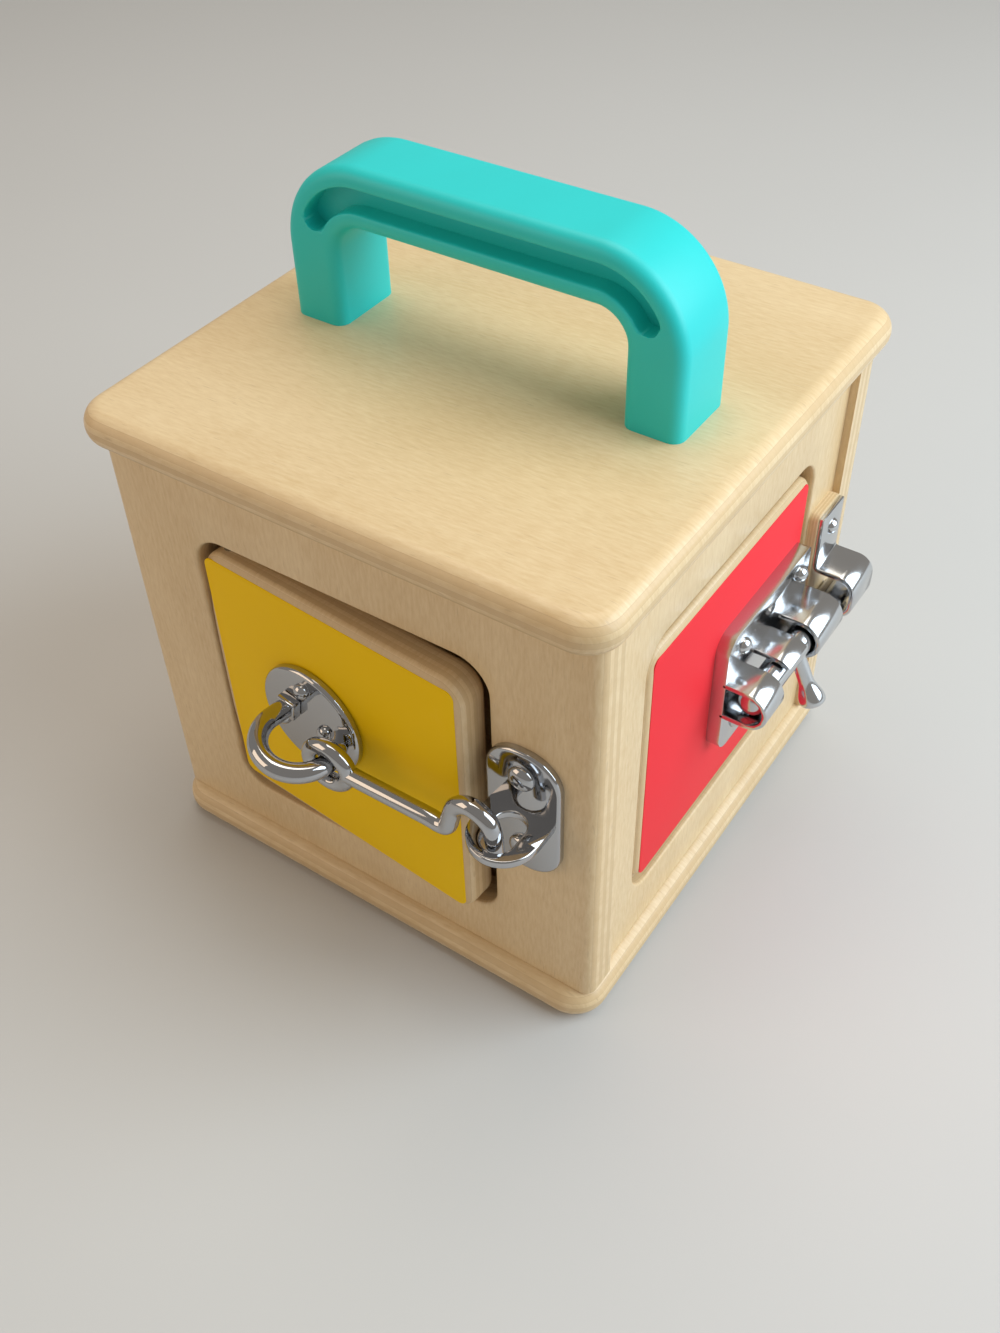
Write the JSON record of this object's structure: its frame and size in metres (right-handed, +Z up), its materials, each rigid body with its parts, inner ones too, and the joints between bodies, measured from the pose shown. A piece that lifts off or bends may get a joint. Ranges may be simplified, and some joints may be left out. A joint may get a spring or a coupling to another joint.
{
  "type": "wooden lock box toy",
  "caption": "Plywood box toy with a carrying handle, a hinged door held by a hook latch and another hinged door held by a barrel bolt.",
  "frame": {"origin": "centre of the underside of the base board, where the box stands", "axes": "+Z up, -Y out of the front with the yellow door, +X out of the side with the red door"},
  "size_m": [0.1545, 0.1581, 0.1766],
  "materials": {
    "birch_ply": "clear satin lacquer",
    "dowel_wood": "bare wood",
    "yellow_facing": "satin coloured facing",
    "red_facing": "satin coloured facing",
    "teal_plastic": "smooth moulded",
    "chrome": "bright plated",
    "plain_steel": "plain drawn steel"
  },
  "bodies": {
    "box": {"base_board": "birch_ply", "lid_board": "birch_ply", "front_panel": "birch_ply", "back_panel": "birch_ply", "left_panel": "birch_ply", "right_panel": "birch_ply", "handle": "teal_plastic", "base_dowel_1": "dowel_wood", "base_dowel_2": "dowel_wood", "base_dowel_3": "dowel_wood", "base_dowel_4": "dowel_wood", "lid_dowel_1": "dowel_wood", "lid_dowel_2": "dowel_wood", "lid_dowel_3": "dowel_wood", "lid_dowel_4": "dowel_wood", "handle_screw_left": "plain_steel", "handle_screw_right": "plain_steel", "yellow_hinge_pin_bottom": "plain_steel", "yellow_hinge_pin_top": "plain_steel", "red_hinge_pin_bottom": "plain_steel", "red_hinge_pin_top": "plain_steel", "yellow_door_stop": "birch_ply", "red_door_stop": "birch_ply", "eye_plate": "chrome", "eye_plate_screw_top": "chrome", "eye_plate_screw_bottom": "chrome", "keeper_block": "birch_ply", "keeper": "chrome", "keeper_screw_top": "chrome", "keeper_screw_bottom": "chrome"},
    "yellow_door": {"yellow_door": "birch_ply", "yellow_facing": "yellow_facing", "hook_plate": "chrome", "hook_staple": "chrome", "hook_plate_screw_1": "chrome", "hook_plate_screw_2": "chrome", "hook_plate_screw_3": "chrome", "hook_plate_screw_4": "chrome"},
    "hook": {"hook": "chrome"},
    "red_door": {"red_door": "birch_ply", "red_facing": "red_facing", "bolt_body": "chrome", "bolt_screw_1": "chrome", "bolt_screw_2": "chrome", "bolt_screw_3": "chrome", "bolt_screw_4": "chrome"},
    "bolt_rod": {"bolt_rod": "chrome"},
    "bolt_knob": {"bolt_knob": "chrome"}
  },
  "joints": [
    {"name": "yellow_door_hinge", "type": "hinge", "parent": "box", "child": "yellow_door", "pos_m": [-0.0357, -0.06, 0.066], "axis": [0, 0, -1], "range_deg": [-4.4, 95]},
    {"name": "hook_lift", "type": "hinge", "parent": "yellow_door", "child": "hook", "pos_m": [0.0025, -0.07698, 0.06829], "axis": [-0.0767, -0.9971, 0], "range_deg": [0, 115]},
    {"name": "red_door_hinge", "type": "hinge", "parent": "box", "child": "red_door", "pos_m": [0.0605, -0.0349, 0.066], "axis": [0, 0, -1], "range_deg": [0, 100]},
    {"name": "bolt_slide", "type": "slide", "parent": "red_door", "child": "bolt_rod", "axis": [0, -1, 0], "range_m": [0, 0.015]},
    {"name": "bolt_turn", "type": "hinge", "parent": "bolt_rod", "child": "bolt_knob", "pos_m": [0.0742, 0.0197, 0.0658], "axis": [0, -1, 0], "range_deg": [0, 110]}
  ]
}
